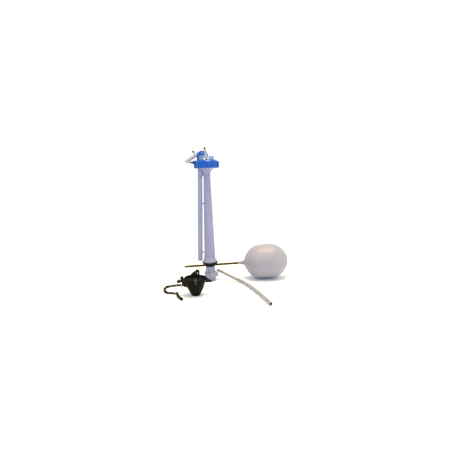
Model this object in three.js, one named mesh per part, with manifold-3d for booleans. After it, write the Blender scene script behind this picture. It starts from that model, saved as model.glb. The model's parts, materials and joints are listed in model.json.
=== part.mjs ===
// A float valve for a toilet cistern, with the loose pieces of its kit: a tall plastic ballcock that stands
// on its coupling nut, the float ball on its brass rod, the refill tube, and the flapper with its chain.
// Millimetres, +Z up. The valve's own axis is the working axis; the whole kit is centred at the end.
import * as THREE from 'three';
import { mergeVertices } from 'three/addons/utils/BufferGeometryUtils.js';
import Module from 'manifold-3d';

const wasm = await Module();
wasm.setup();

// ---------------------------------------------------------------- driving dimensions
const GAP = 0.3; // clearance between touching pieces
const ROUND = 32; // sides of a large round piece
const SMALL_ROUND = 16; // sides of a pin, screw or small ring

const THREAD_R = 11.9; // ballcock shank thread
const SHANK_BORE_R = 7.6;
const SUPPLY_R = 6.5; // the supply tube's hole in nut and cone washer
const COUPLING = { top: 11, core: 14.4, rib: 15.3, floor: 2.4 };
const LOCK = { bottom: 11.3, shoulder: 26.6, top: 42.4, core: 17.6, hub: 13.4, wing: 22.5, wingTop: 22.5 };
const WASHER_RIM = { r: 22.6, z: 53.9 };

const RISER_FOOT = { r: 15.7, z: 71 };
const RISER_NECK = { r: 9.2, z: 299 };
const RISER_WALL = 2.3;
const HEAD = { r: 27.5, inner: 25.3, floor: 324, rim: 334 };

const DISCHARGE_TOP = { x: -18.7, z: 317.4, r: 6.3 };
const DISCHARGE_FOOT = { z: 59.4, r: 7.3 };
const DISCHARGE_WALL = 1.4;
// the head's socket for that tube
const SOCKET = { depth: 18.6, r: 6.6, bore: 4.9, webFoot: 299.4 };
const SPIGOT_R = 4.6;
const DISCHARGE_LEAN = THREE.MathUtils.degToRad(2.04);
const WEB_HEIGHTS = [83.8, 223];

const SEAT_TOP = 328;
const BONNET = { r: 27, bottom: 336.2, crown: 20.8, top: 345.2 };
const BOSS = { left: 7.2, right: 21, halfDepth: 6.5, top: 354.9 };
const NIPPLE = { x: 14.1, z: 350.3 };
const STEM_R = 2.6;
const PLUNGER_TOP = 352.3;

const RING = { inner: 28, outer: 31.8, bottom: 321.4, top: 344.8, opening: 21.7, lug: 35 };
const STOP_TAB = { tip: -47, bottom: 336.8, top: 340.4 };
const CHEEK_INNER = 5.6; // the cheeks stand at this distance either side of the lever
const CHEEK_THICK = 3.5;

const PIVOT = { x: -10.3, z: 364.5, r: 1.5 };
const LEVER_HALF = 5.2;
const ARM_SLOPE = THREE.MathUtils.degToRad(31.5);
const ARM_HINGE = { x: -25.37, z: -11.72, r: 1.2 }; // from the pivot
// the arm's barrel, from the hinge
const ARM_SOCKET = { r: 5.3, collar: 6, outer: -25, inner: 11, lift: 1.2, slot: 3, bridge: 3.3 };
const ROD_THREAD_R = 3.4;
const SET_SCREW = { x: 8.2, tip: 2.6, headFrom: 11.2, headTo: 16.4, r: 1.5, head: 2.9 };
const PLUNGER_SCREW = { x: 11.7, z: -3, tip: -8.9, headFrom: 13.4, headTo: 18.8, r: 1.7, head: 3.1 };
const PLUNGER_SCREW_LEAN = THREE.MathUtils.degToRad(19.1);

const BALL = { x: 161.2, y: 8, z: 50.1, r: 49.5, wall: 1.7 };
const ROD = { r: 3.175, length: 178, plan: -0.0807, rise: 0.055 };
const NECK_END = -82; // the ball's neck, from its middle

const FLAPPER = { x: -33.2, y: -147.2 };
const LEFT_KNOB = { x: -33.8, z: 45.2, r: 4 }; // knobs and chain hole, from the flapper's own axis
const LOW_KNOB = { x: -42, z: 36.6, r: 4.2 };
const CHAIN_HOLE = { x: 4.7, z: 57.4, r: 3.1 };
const TUBE_R = 4.25; // refill tube
const CHAIN_R = 2.6; // envelope of the chain's links

// ---------------------------------------------------------------- shapes
function lathe(profile, sides = ROUND) {
  const points = profile.map(([r, z]) => new THREE.Vector2(r, z));
  return new THREE.LatheGeometry(points, sides).rotateX(Math.PI / 2);
}

// A turned piece with a bore: the profile closes on itself.
function ring(profile, sides = ROUND) {
  return lathe([...profile, profile[0]], sides);
}

function cylinder(radius, from, to, sides = SMALL_ROUND) {
  const shape = new THREE.CylinderGeometry(radius, radius, to - from, sides);
  return shape.rotateX(Math.PI / 2).translate(0, 0, (from + to) / 2);
}

function pinAlongY(radius, from, to, x, z) {
  return cylinder(radius, from, to).rotateX(-Math.PI / 2).translate(x, 0, z);
}

// x, y and z are [low, high] pairs.
function block(x, y, z) {
  const shape = new THREE.BoxGeometry(x[1] - x[0], y[1] - y[0], z[1] - z[0]);
  return shape.translate((x[0] + x[1]) / 2, (y[0] + y[1]) / 2, (z[0] + z[1]) / 2);
}

// An outline in the XZ plane, given thickness along Y and centred on y.
function plate(outline, thickness, y = 0) {
  const shape = new THREE.Shape(outline.map(([x, z]) => new THREE.Vector2(x, z)));
  const solid = new THREE.ExtrudeGeometry(shape, { depth: thickness, bevelEnabled: false });
  return solid.rotateX(Math.PI / 2).translate(0, y + thickness / 2, 0);
}

// A round section swept along a smooth route.
function sweep(route, radius, sides, steps) {
  const curve = new THREE.CatmullRomCurve3(route.map((point) => new THREE.Vector3(...point)));
  const section = new THREE.Shape();
  for (let i = 0; i < sides; i += 1) {
    const angle = (2 * Math.PI * i) / sides;
    const corner = [radius * Math.cos(angle), radius * Math.sin(angle)];
    if (i === 0) section.moveTo(...corner);
    else section.lineTo(...corner);
  }
  return new THREE.ExtrudeGeometry(section, { steps, extrudePath: curve });
}

// A wire ring about the X, Y or Z axis.
function wireRing(major, wire, axis = 'z') {
  const shape = new THREE.TorusGeometry(major, wire, 8, 20);
  if (axis === 'x') shape.rotateY(Math.PI / 2);
  if (axis === 'y') shape.rotateX(Math.PI / 2);
  return shape;
}

// ---------------------------------------------------------------- joining and cutting
function solidOf(geometry) {
  const bare = geometry.clone();
  bare.deleteAttribute('normal');
  bare.deleteAttribute('uv');
  const merged = mergeVertices(bare);
  const corners = Array.from(merged.index.array);
  const triangles = [];
  for (let i = 0; i < corners.length; i += 3) {
    const [a, b, c] = corners.slice(i, i + 3);
    if (a !== b && b !== c && c !== a) triangles.push(a, b, c);
  }
  const vertProperties = Float32Array.from(merged.attributes.position.array);
  const build = (list) => new wasm.Manifold(
    new wasm.Mesh({ numProp: 3, vertProperties, triVerts: Uint32Array.from(list) }),
  );
  const solid = build(triangles);
  return solid.volume() > 0 ? solid : build(triangles.reverse());
}

function geometryOf(solid) {
  const { vertProperties, triVerts } = solid.getMesh();
  const geometry = new THREE.BufferGeometry();
  geometry.setAttribute('position', new THREE.BufferAttribute(vertProperties, 3));
  geometry.setIndex(new THREE.BufferAttribute(triVerts, 1));
  geometry.computeVertexNormals();
  return geometry;
}

function join(...shapes) {
  return geometryOf(shapes.map(solidOf).reduce((whole, next) => whole.add(next)));
}

function cut(shape, ...tools) {
  return geometryOf(tools.map(solidOf).reduce((whole, tool) => whole.subtract(tool), solidOf(shape)));
}

// Copies of one shape turned to each angle about the Z axis.
function around(count, make, start = 0) {
  return Array.from({ length: count }, (_, i) => make().rotateZ(start + (2 * Math.PI * i) / count));
}

// ---------------------------------------------------------------- materials
function finish(color, roughness, metalness = 0) {
  return new THREE.MeshStandardMaterial({ color, roughness, metalness });
}

const bodyPlastic = finish(0xb6b8dc, 0.42);
const nutPlastic = finish(0xaeb0cf, 0.45);
const bluePlastic = finish(0x2468cc, 0.35);
const whitePlastic = finish(0xe6e2ea, 0.4);
const armPlastic = finish(0xdcd2d4, 0.45);
const ballPlastic = finish(0xeee6dc, 0.45);
const vinyl = finish(0xe0d8d2, 0.35);
const blackRubber = finish(0x17181a, 0.7);
const blackPlastic = finish(0x1c1d20, 0.5);
const brass = finish(0xa98b45, 0.3, 1);
const steel = finish(0xb4b6ba, 0.3, 1);

function piece(name, geometry, material) {
  const mesh = new THREE.Mesh(geometryOf(solidOf(geometry)), material);
  mesh.name = name;
  return mesh;
}

// ---------------------------------------------------------------- body and shank
function riserRadius(z) {
  const along = (z - RISER_FOOT.z) / (RISER_NECK.z - RISER_FOOT.z);
  return THREE.MathUtils.lerp(RISER_FOOT.r, RISER_NECK.r, along);
}

// Puts a shape made about the Z axis, with its top at z = 0, onto the leaning discharge tube's axis.
function onDischargeAxis(shape) {
  return shape.rotateY(DISCHARGE_LEAN).translate(DISCHARGE_TOP.x, 0, DISCHARGE_TOP.z);
}

function standpipe() {
  const neckBore = RISER_NECK.r - RISER_WALL;
  const turned = ring([
    [THREAD_R - 1, 6.2], [THREAD_R, 7.2], [THREAD_R, 48.6], [14.6, 49.4],
    [20, 55.4], [20, 58.6], [18, 62], [16.6, 66], [RISER_FOOT.r, RISER_FOOT.z],
    [RISER_NECK.r, RISER_NECK.z], [9.4, 304], [10.4, 309], [12.6, 313.5], [16, 317.5], [20, 320],
    [HEAD.r, 321.6], [HEAD.r, HEAD.rim], [HEAD.inner, HEAD.rim], [HEAD.inner, HEAD.floor],
    [neckBore, HEAD.floor], [neckBore, RISER_NECK.z], [RISER_FOOT.r - RISER_WALL, RISER_FOOT.z],
    [SHANK_BORE_R, 56], [SHANK_BORE_R, 6.2],
  ]);
  const socket = onDischargeAxis(cylinder(SOCKET.r, -SOCKET.depth, 4.6, 24));
  const web = block([-16, -6.5], [-3, 3], [SOCKET.webFoot, 318]);
  const tubeHole = onDischargeAxis(cylinder(SOCKET.bore, -SOCKET.depth - 1, -1, 24));
  const outlet = onDischargeAxis(cylinder(SPIGOT_R - DISCHARGE_WALL, -2, 8, 24));
  return cut(join(turned, socket, web), tubeHole, outlet);
}

function dischargeTube() {
  const length = (DISCHARGE_TOP.z - DISCHARGE_FOOT.z) / Math.cos(DISCHARGE_LEAN);
  const top = DISCHARGE_TOP.r;
  const foot = DISCHARGE_FOOT.r;
  const shoulder = -SOCKET.depth - GAP;
  const spigotBore = SPIGOT_R - DISCHARGE_WALL;
  const tube = ring([
    [foot, -length], [top, shoulder], [SPIGOT_R, shoulder], [SPIGOT_R, -1.6], [spigotBore, -1.6],
    [spigotBore, shoulder], [foot - DISCHARGE_WALL, -length],
  ], 24);
  const webs = WEB_HEIGHTS.map((z) => {
    const drop = DISCHARGE_TOP.z - z;
    const axis = DISCHARGE_TOP.x - drop * Math.tan(DISCHARGE_LEAN);
    const radius = THREE.MathUtils.lerp(top, foot, drop / length);
    const wall = [axis + radius - 0.9, -riserRadius(z - 1.8) - GAP];
    return block(wall, [-1.5, 1.5], [z - 1.8, z + 1.8]);
  });
  return join(onDischargeAxis(tube), ...webs);
}

function valveSeat() {
  return ring([
    [2.4, 306], [5.2, 306], [5.2, HEAD.floor + GAP], [8, HEAD.floor + GAP], [8, HEAD.floor + 1.6],
    [4.4, HEAD.floor + 1.6], [4, SEAT_TOP], [2.4, SEAT_TOP],
  ], 24);
}

function shankWasher() {
  const bore = THREAD_R + GAP;
  return ring([
    [bore, LOCK.top + 0.4], [13.8, LOCK.top + 0.4], [15.4, 43.8], [21.2, 50.4], [WASHER_RIM.r, 52.4],
    [WASHER_RIM.r, WASHER_RIM.z], [21.2, 54.6], [20.4, 54.2], [15, 48.7], [bore, 48],
  ]);
}

function lockNut() {
  const bore = THREAD_R + GAP;
  const turned = ring([
    [bore, LOCK.bottom], [LOCK.core - 0.8, LOCK.bottom], [LOCK.core, LOCK.bottom + 0.8],
    [LOCK.core, LOCK.shoulder - 0.8], [LOCK.core - 0.7, LOCK.shoulder], [14.9, LOCK.shoulder],
    [LOCK.hub, 34], [LOCK.hub, LOCK.top], [bore, LOCK.top],
  ]);
  const wing = () => block([LOCK.core - 1.5, LOCK.wing], [-3.5, 3.5], [LOCK.bottom, LOCK.wingTop]);
  return join(turned, ...around(3, wing, THREE.MathUtils.degToRad(15)));
}

function couplingNut() {
  const turned = ring([
    [SUPPLY_R, 0], [COUPLING.core - 0.8, 0], [COUPLING.core, 0.8], [COUPLING.core, COUPLING.top],
    [THREAD_R + GAP, COUPLING.top], [THREAD_R + GAP, COUPLING.floor], [SUPPLY_R, COUPLING.floor],
  ]);
  const rib = () => block([COUPLING.core - 0.6, COUPLING.rib], [-1.2, 1.2], [1.4, COUPLING.top - 0.6]);
  return join(turned, ...around(12, rib));
}

function coneWasher() {
  const bore = SUPPLY_R + 0.1;
  return ring([
    [bore, 2.7], [11.6, 2.7], [11.6, 5.9], [SHANK_BORE_R - GAP, 5.9], [SHANK_BORE_R - GAP, 8.5],
    [bore, 8.5],
  ], 24);
}

// ---------------------------------------------------------------- diaphragm chamber and bonnet
function diaphragm() {
  return ring([[STEM_R + 0.4, 334.3], [BONNET.r, 334.3], [BONNET.r, 335.9], [STEM_R + 0.4, 335.9]]);
}

function sealDisc() {
  return lathe([
    [0, 332.4], [5.2, 332.4], [5.2, 334], [STEM_R + GAP, 334], [STEM_R + GAP, 333.4], [0, 333.4],
  ], SMALL_ROUND);
}

function plunger() {
  return lathe([
    [0, 333.7], [STEM_R, 333.7], [STEM_R, BONNET.bottom], [5.4, BONNET.bottom], [5.4, 338.2],
    [STEM_R, 338.2], [STEM_R, 350], [6.3, 350], [6.3, PLUNGER_TOP], [0, PLUNGER_TOP],
  ], 20);
}

function bonnet() {
  const hole = STEM_R + GAP;
  const cover = ring([
    [6.4, BONNET.bottom], [BONNET.r, BONNET.bottom], [BONNET.r, 339.2], [21.2, 340.4],
    [BONNET.crown, BONNET.top], [hole, BONNET.top], [hole, 341], [6.4, 341],
  ]);
  const depth = [-BOSS.halfDepth, BOSS.halfDepth];
  const boss = block([BOSS.left, BOSS.right], depth, [BONNET.top - 0.05, BOSS.top]);
  return cut(join(cover, boss), pinAlongY(3.2, 1, 8, NIPPLE.x, NIPPLE.z));
}

function refillNipple() {
  const turned = ring([
    [1.5, 1.3], [2.9, 1.3], [2.9, 7], [4.2, 7], [4.2, 8.4], [2.9, 8.4], [2.9, 13], [3.6, 14.5],
    [2.7, 19], [1.5, 19],
  ], SMALL_ROUND);
  return turned.rotateX(-Math.PI / 2).translate(NIPPLE.x, 0, NIPPLE.z);
}

// ---------------------------------------------------------------- cap ring with its lever cheeks
function cheek(side) {
  const outline = [
    [-25.9, 342], [-25.9, 355.5], [-16.4, 370], [-5.6, 370], [-4.5, 368.9], [-4.5, 360],
    [-5.7, 358.8], [-15.5, 358.8], [-20.8, 353.6], [-20.8, 342],
  ];
  const y = side * (CHEEK_INNER + CHEEK_THICK / 2);
  return plate(outline, CHEEK_THICK, y);
}

function capRing() {
  const turned = ring([
    [RING.inner, RING.bottom], [RING.outer - 0.6, RING.bottom], [RING.outer, RING.bottom + 1],
    [RING.outer, 338.6], [29, 342.4], [25, RING.top], [RING.opening, RING.top],
    [RING.opening, 341.2], [27.3, 339.8], [RING.inner, 339.6],
  ]);
  const lug = () => block([30, RING.lug], [-7, 7], [RING.bottom + 1, RING.top - 4.6]);
  const tab = block([STOP_TAB.tip, -30.5], [-4.5, 4.5], [STOP_TAB.bottom, STOP_TAB.top]);
  const pinHole = pinAlongY(PIVOT.r + GAP, -12, 12, PIVOT.x, PIVOT.z);
  return cut(join(turned, ...around(2, lug), tab, cheek(-1), cheek(1)), pinHole);
}

// A headed pin along Y, held by a push-on clip behind.
function headedPin(radius, reach, clipThickness) {
  const turned = lathe([
    [0, -reach - 2], [radius + 1.1, -reach - 2], [radius + 1.3, -reach - 1.4],
    [radius + 1.3, -reach - GAP], [radius, -reach - GAP], [radius, reach + clipThickness + 0.9],
    [0, reach + clipThickness + 0.9],
  ], SMALL_ROUND);
  return turned.rotateX(-Math.PI / 2);
}

function pinClip(radius, reach, thickness) {
  const [inner, outer] = [radius + GAP, radius + 1.7];
  const [near, far] = [reach + GAP, reach + GAP + thickness];
  return ring([[inner, near], [outer, near], [outer, far], [inner, far]], SMALL_ROUND)
    .rotateX(-Math.PI / 2);
}

// ---------------------------------------------------------------- lever, arm and screws
// The lever's origin is its pivot; the arm's is the hinge between lever and arm.
function fromArmToLever(shape) {
  return shape.rotateY(-ARM_SLOPE).translate(ARM_HINGE.x, 0, ARM_HINGE.z);
}

function lever() {
  const thick = 2 * LEVER_HALF;
  const hub = pinAlongY(5.4, -LEVER_HALF, LEVER_HALF, 0, 0);
  const plungerLimb = plate([
    [-5.3, 0.5], [-4.7, -11.3], [0.3, -12.8], [17.4, -6.9], [15.6, -1.7], [5.3, -5.2], [5.3, 0.5],
  ], thick);
  const lowerLobe = plate([
    [-12.6, -8], [-10.5, -18.2], [2.2, -18.2], [3.2, -11.4], [-4.6, -8], [-5.2, 0.5],
  ], thick);
  const screwBoss = cylinder(3.1, -3.4, 6.4)
    .rotateY(-PLUNGER_SCREW_LEAN).translate(PLUNGER_SCREW.x, 0, PLUNGER_SCREW.z);
  const armLimb = fromArmToLever(plate([
    [12.6, -4.6], [12.6, 6.2], [20, 6.2], [23.5, 3.6], [29, -3.2], [24, -7.5], [20, -4.6],
  ], thick));
  const tongue = fromArmToLever(plate([
    [0, -3.2], [14, -3.2], [14, 1.2], [3, 1.2], [1.6, 2.8], [-1.6, 2.8], [-3.2, 1.2], [-3.2, -1.6],
    [-1.6, -3.2],
  ], 2 * (ARM_SOCKET.slot - 0.4)));
  const pivotHole = pinAlongY(PIVOT.r + GAP, -9, 9, 0, 0);
  const hingeHole = pinAlongY(ARM_HINGE.r + GAP, -9, 9, ARM_HINGE.x, ARM_HINGE.z);
  const screwHole = cylinder(PLUNGER_SCREW.r + GAP, -12, 8)
    .rotateY(-PLUNGER_SCREW_LEAN).translate(PLUNGER_SCREW.x, 0, PLUNGER_SCREW.z);
  const whole = join(hub, plungerLimb, lowerLobe, screwBoss, armLimb, tongue);
  return cut(whole, pivotHole, hingeHole, screwHole);
}

function floatArm() {
  const { r, outer, inner, lift, slot, bridge, collar } = ARM_SOCKET;
  const barrel = cylinder(r, outer, inner, 20).rotateY(Math.PI / 2).translate(0, 0, lift);
  const mouth = cylinder(collar, outer, -17.5, 20).rotateY(Math.PI / 2).translate(0, 0, lift);
  const fork = block([-6, inner + 1], [-slot, slot], [-r - 1, bridge]);
  const rodHole = cylinder(ROD_THREAD_R, outer - 1, -9, SMALL_ROUND)
    .rotateY(Math.PI / 2).translate(0, 0, lift);
  const hingeHole = pinAlongY(ARM_HINGE.r + GAP, -9, 9, 0, 0);
  const screwHole = cylinder(SET_SCREW.r + GAP, 2, 9).translate(SET_SCREW.x, 0, 0);
  return cut(join(barrel, mouth), fork, rodHole, hingeHole, screwHole);
}

// A brass thumbscrew with a flat two-winged grip.
function thumbScrew({ r, head, tip, headFrom, headTo }) {
  const turned = lathe([
    [0, tip], [r - 0.6, tip], [r, tip + 0.8], [r, headFrom], [head - 0.6, headFrom + 0.6],
    [head - 0.6, headTo - 0.6], [head - 1.2, headTo], [0, headTo],
  ], SMALL_ROUND);
  const grips = block([-head, head], [-0.9, 0.9], [headFrom + 0.6, headTo - 0.3]);
  return join(turned, grips);
}

// ---------------------------------------------------------------- float ball and rod, along local X
function alongX(shape) {
  return shape.rotateY(Math.PI / 2);
}

function floatBall() {
  const { r, wall } = BALL;
  const outside = [
    [4.6, NECK_END], [5, -73], [7.2, -64.4], [11.5, -62], [18.2, -59], [31, -51], [39.7, -42],
    [44.4, -35], [47.5, -28], [49.1, -18], [r, -8], [r, 12], [49.2, 18], [48, 24.5], [45.8, 31],
    [42, 38], [36.8, 45], [30, 51.5], [16.5, 59.6], [8, 61.9], [0, 62.4],
  ];
  const inside = [
    [0, 62.4 - wall], [7.6, 60.2], [15.6, 58], [28.8, 50.3], [35.5, 43.9], [40.5, 37.1], [44.2, 30.2],
    [46.4, 23.9], [47.5, 17.8], [r - wall, 12], [r - wall, -8], [47.4, -17.8], [45.9, -27.4],
    [42.9, -34.2], [38.4, -40.8], [30, -49.6], [17.6, -57.3], [10.6, -60.2], [5.6, -62.6], [3.9, -72],
    [3.9, NECK_END],
  ];
  return alongX(lathe([...inside, ...outside]));
}

function neckCollar() {
  const bore = ROD.r + GAP;
  const [near, far] = [NECK_END - 0.4, NECK_END - 2.8];
  return alongX(ring([[bore, near], [5, near], [5, far], [bore, far]], 20));
}

function floatRod() {
  const end = NECK_END + 21;
  const start = end - ROD.length;
  return alongX(lathe([
    [0, start], [ROD.r - 0.6, start], [ROD.r, start + 0.8], [ROD.r, end - 0.8], [ROD.r - 0.6, end],
    [0, end],
  ], SMALL_ROUND));
}

// ---------------------------------------------------------------- flapper, from its own axis
function flapperSeal() {
  return lathe([
    [0, 46], [14, 44.8], [19.5, 41.5], [22.6, 36], [18.6, 21], [8.4, 2.4], [3.5, 2.4], [3.5, 0],
    [10.2, 0], [15.4, 8.8], [21, 19.6], [24.9, 32.5], [25.3, 38.6], [28, 38.6], [28, 41.4],
    [25.5, 43.9], [17, 47.1], [0, 48.5],
  ]);
}

// A strap over the disc with a stop lug down one side, a lifting ear on the other, and an upright
// bail for the chain.
function flapperFrame() {
  const strap = plate([
    [42.4, 34.6], [41.2, 36.4], [31.8, 41.6], [29.6, 44.4], [27, 46.6], [18, 49.9], [0, 51.4],
    [-18, 50.2], [-25.6, 46.8], [-29.6, 43.6], [-33, 41.8], [-34.6, 38], [-33.6, 33], [-31.5, 28.4],
    [-29.6, 24.6], [-28.6, 23.6], [-22.4, 22.8], [-25.3, 32.5], [-25.6, 36.3], [-28.6, 36.3],
    [-28.6, 41.9], [-25.8, 44.5], [-17.2, 47.7], [0, 49], [17.2, 47.7], [25.8, 44.5], [28.6, 41.9],
    [28.6, 36.3], [25.8, 36.3], [25.8, 32.9], [40.4, 33.2],
  ], 10);
  const earSlot = plate([[30, 34.6], [30, 37.2], [35, 37], [38.4, 35.2], [37, 34.7]], 12);
  const knob = ({ x, z, r }) => pinAlongY(r, -5, 5, x, z);
  const knobHole = ({ x, z }) => pinAlongY(1.6, -6, 6, x, z);
  const knobArm = block([LOW_KNOB.x, -33], [-5, 5], [34.6, 38.4]);
  const knobFoot = block([-36.4, -31.2], [-5, 5], [37, 45]);
  const bail = plate([
    [-14, 50], [-9.5, 55.4], [-4.5, 59.4], [1, 62.6], [5.6, 64.8], [9.4, 65], [11.8, 62.8], [11.8, 50],
  ], 4);
  const chainHole = pinAlongY(CHAIN_HOLE.r, -3, 3, CHAIN_HOLE.x, CHAIN_HOLE.z);
  const whole = join(strap, knob(LEFT_KNOB), knob(LOW_KNOB), knobArm, knobFoot, bail);
  return cut(whole, earSlot, knobHole(LEFT_KNOB), knobHole(LOW_KNOB), chainHole);
}

// ---------------------------------------------------------------- routes of the chain and the tube
// The chain drapes over the flapper's back, falls to the surface and curls round to the front.
const CHAIN_ROUTE = [
  [-28.5, -139, 60.4], [-29.5, -133, 57], [-32, -123.5, 52.4], [-34.5, -115.2, 45], [-36.5, -112.6, 32],
  [-38, -111.6, 18], [-39.5, -109.5, 7.4], [-43, -102, 2.9], [-50, -87, 2.8], [-58, -73, 2.8],
  [-67, -61.5, 2.8], [-76, -54, 2.8], [-86, -52, 2.8], [-96, -54.8, 2.8], [-106, -59.5, 2.8],
  [-114.8, -66.5, 2.8], [-119.8, -78, 2.8], [-120.4, -92, 2.8], [-117.4, -108, 2.8],
  [-111.5, -122.5, 2.8], [-102.5, -130, 2.8], [-95.5, -131, 2.8],
];
const CHAIN_TAIL_ROUTE = [
  [-81.5, -137, 2.8], [-79.5, -148, 2.8], [-77, -160, 2.8], [-72.8, -172, 2.8], [-67.5, -184, 2.8],
  [-61.6, -195.7, 2.8],
];
// The refill tube leaves the lock nut's wing, comes down to the surface and bends towards the front.
const REFILL_ROUTE = [
  [20, 10.5, 27.8], [30.5, 3.8, 24.6], [41.5, -3.6, 20.4], [52.2, -10.4, 15.9], [62.8, -17, 11.5],
  [73, -24, 7.7], [82.5, -33.4, 5.3], [90.9, -48, 4.7], [98.4, -67.6, 4.6], [105.3, -89.5, 4.6],
  [111.4, -111.4, 4.6], [116.7, -131, 4.6], [121.5, -150.4, 4.6], [126.2, -169.4, 4.6],
  [130.6, -188.4, 4.6], [134.8, -207, 4.6], [138.8, -226, 4.6], [144.6, -255.4, 4.6],
];

// ---------------------------------------------------------------- the assembly
function group(children, place = {}) {
  const whole = new THREE.Group();
  whole.add(...children);
  whole.position.set(place.x ?? 0, place.y ?? 0, place.z ?? 0);
  whole.rotation.y = place.turn ?? 0;
  return whole;
}

const cheekReach = CHEEK_INNER + CHEEK_THICK;
const armReach = ARM_SOCKET.r;

const adjuster = group([
  piece('float_arm', floatArm(), armPlastic),
  piece('arm_hinge_pin', headedPin(ARM_HINGE.r, armReach, 0.8), armPlastic),
  piece('arm_hinge_clip', pinClip(ARM_HINGE.r, armReach, 0.8), steel),
  group([piece('arm_adjusting_screw', thumbScrew(SET_SCREW), brass)], { x: SET_SCREW.x }),
], { ...ARM_HINGE, turn: -ARM_SLOPE });

const leverSet = group([
  piece('lever', lever(), whitePlastic),
  piece('pivot_pin', headedPin(PIVOT.r, cheekReach, 0.9), steel),
  piece('pivot_pin_clip', pinClip(PIVOT.r, cheekReach, 0.9), steel),
  group([piece('plunger_adjusting_screw', thumbScrew(PLUNGER_SCREW), brass)],
    { x: PLUNGER_SCREW.x, z: PLUNGER_SCREW.z, turn: -PLUNGER_SCREW_LEAN }),
  adjuster,
], PIVOT);

const valve = group([
  piece('standpipe', standpipe(), bodyPlastic),
  piece('discharge_tube', dischargeTube(), bodyPlastic),
  piece('valve_seat', valveSeat(), whitePlastic),
  piece('diaphragm', diaphragm(), blackRubber),
  piece('seal_disc', sealDisc(), blackRubber),
  piece('plunger', plunger(), armPlastic),
  piece('bonnet', bonnet(), whitePlastic),
  piece('refill_nipple', refillNipple(), whitePlastic),
  piece('cap_ring', capRing(), bluePlastic),
  piece('shank_washer', shankWasher(), blackRubber),
  piece('lock_nut', lockNut(), nutPlastic),
  piece('coupling_nut', couplingNut(), nutPlastic),
  piece('cone_washer', coneWasher(), blackRubber),
  leverSet,
]);

const floatSet = group([
  piece('float_ball', floatBall(), ballPlastic),
  piece('ball_neck_collar', neckCollar(), brass),
  piece('float_rod', floatRod(), brass),
], BALL);
const rodDirection = new THREE.Vector3(1, ROD.plan, ROD.rise).normalize();
floatSet.quaternion.setFromUnitVectors(new THREE.Vector3(1, 0, 0), rodDirection);

const chainClip = piece('chain_clip', wireRing(4.1, 0.8, 'x'), blackPlastic);
chainClip.position.set(CHAIN_HOLE.x, 0, CHAIN_HOLE.z + 4.9);
const flapper = group([
  piece('flapper_seal', flapperSeal(), blackRubber),
  piece('flapper_frame', flapperFrame(), blackPlastic),
  chainClip,
], FLAPPER);

const chainHook = piece('chain_hook', wireRing(5, 1.2), blackPlastic);
chainHook.position.set(-87.6, -131.5, 1.5);
const chain = group([
  piece('lift_chain', sweep(CHAIN_ROUTE, CHAIN_R, 8, 40), blackPlastic),
  chainHook,
  piece('chain_tail', sweep(CHAIN_TAIL_ROUTE, CHAIN_R, 8, 10), blackPlastic),
]);

const refillTube = piece('refill_tube', sweep(REFILL_ROUTE, TUBE_R, 10, 40), vinyl);

// The kit is centred over the middle of everything but the loose refill tube, with z = 0 underneath.
const kit = group([valve, floatSet, flapper, chain]);
kit.updateMatrixWorld(true);
const footprint = new THREE.Box3().setFromObject(kit, true);
const middle = footprint.getCenter(new THREE.Vector3());
const whole = group([kit, refillTube], { x: -middle.x, y: -middle.y });

export default whole;
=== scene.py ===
import json
import math

import bmesh
import bpy
from mathutils import Matrix, Vector


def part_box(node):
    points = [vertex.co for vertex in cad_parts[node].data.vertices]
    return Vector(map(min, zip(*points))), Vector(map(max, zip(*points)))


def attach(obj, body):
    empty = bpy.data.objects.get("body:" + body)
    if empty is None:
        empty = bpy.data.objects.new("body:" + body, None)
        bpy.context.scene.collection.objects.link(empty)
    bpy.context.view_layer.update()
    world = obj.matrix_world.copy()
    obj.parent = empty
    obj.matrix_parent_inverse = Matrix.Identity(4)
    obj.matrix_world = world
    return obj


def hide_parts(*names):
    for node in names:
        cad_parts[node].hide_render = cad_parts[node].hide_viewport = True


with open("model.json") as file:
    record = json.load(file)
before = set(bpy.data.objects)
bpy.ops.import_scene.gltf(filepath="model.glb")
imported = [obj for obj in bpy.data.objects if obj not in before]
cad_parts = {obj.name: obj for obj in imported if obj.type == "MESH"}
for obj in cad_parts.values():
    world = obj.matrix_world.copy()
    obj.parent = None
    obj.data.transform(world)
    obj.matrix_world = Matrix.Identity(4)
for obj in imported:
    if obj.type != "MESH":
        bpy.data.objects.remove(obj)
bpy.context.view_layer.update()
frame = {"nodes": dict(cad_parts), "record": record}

# Shapes are drawn in millimetres about the valve's own axis, +X to the ball, +Y to the back, and every
# finished mesh is then set down in the frame, in metres, where the coupling nut says the axis is.
MM = 0.001
nut_low, nut_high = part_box("coupling_nut")
AXIS = Vector(((nut_low.x + nut_high.x) / 2, (nut_low.y + nut_high.y) / 2, 0))
VALVE = Matrix.Translation(AXIS) @ Matrix.Scale(MM, 4)

GAP = 0.3  # between pieces that move on each other
PIVOT = Vector((-10.3, 0, 364.5))  # on the lever's axis
PIVOT_TO_HINGE = Vector((-25.37, 0, -11.72))
HINGE = PIVOT + PIVOT_TO_HINGE  # on the float arm's axis
ARM_SLOPE = math.radians(31.5)
PIVOT_TO_SCREW = Vector((11.7, 0, -3))
SCREW_LEAN = math.radians(19.1)
PIVOT_PIN_RADIUS = 1.5
HINGE_PIN_RADIUS = 1.2
LEVER_HALF = 5.2  # half the lever's width
ARM_HALF = 5.3
CHEEK_FACE = 9.1  # outer face of the cap's cheeks, from the middle
BALL = Vector((161.2, 8, 50.1))
ROD_DIRECTION = Vector((1, -0.0807, 0.055))
ROD_RADIUS = 3.175
FLAPPER = Vector((-33.2, -147.2, 0))  # under the middle of the bulb
RISER_FOOT = (15.7, 71)  # radius and height at the ends of the riser's taper
RISER_TOP = (9.2, 299)
DISCHARGE_TOP = Vector((-18.7, 0, 317.4))
DISCHARGE_FOOT = 59.4
DISCHARGE_LEAN = math.radians(2.04)

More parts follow.
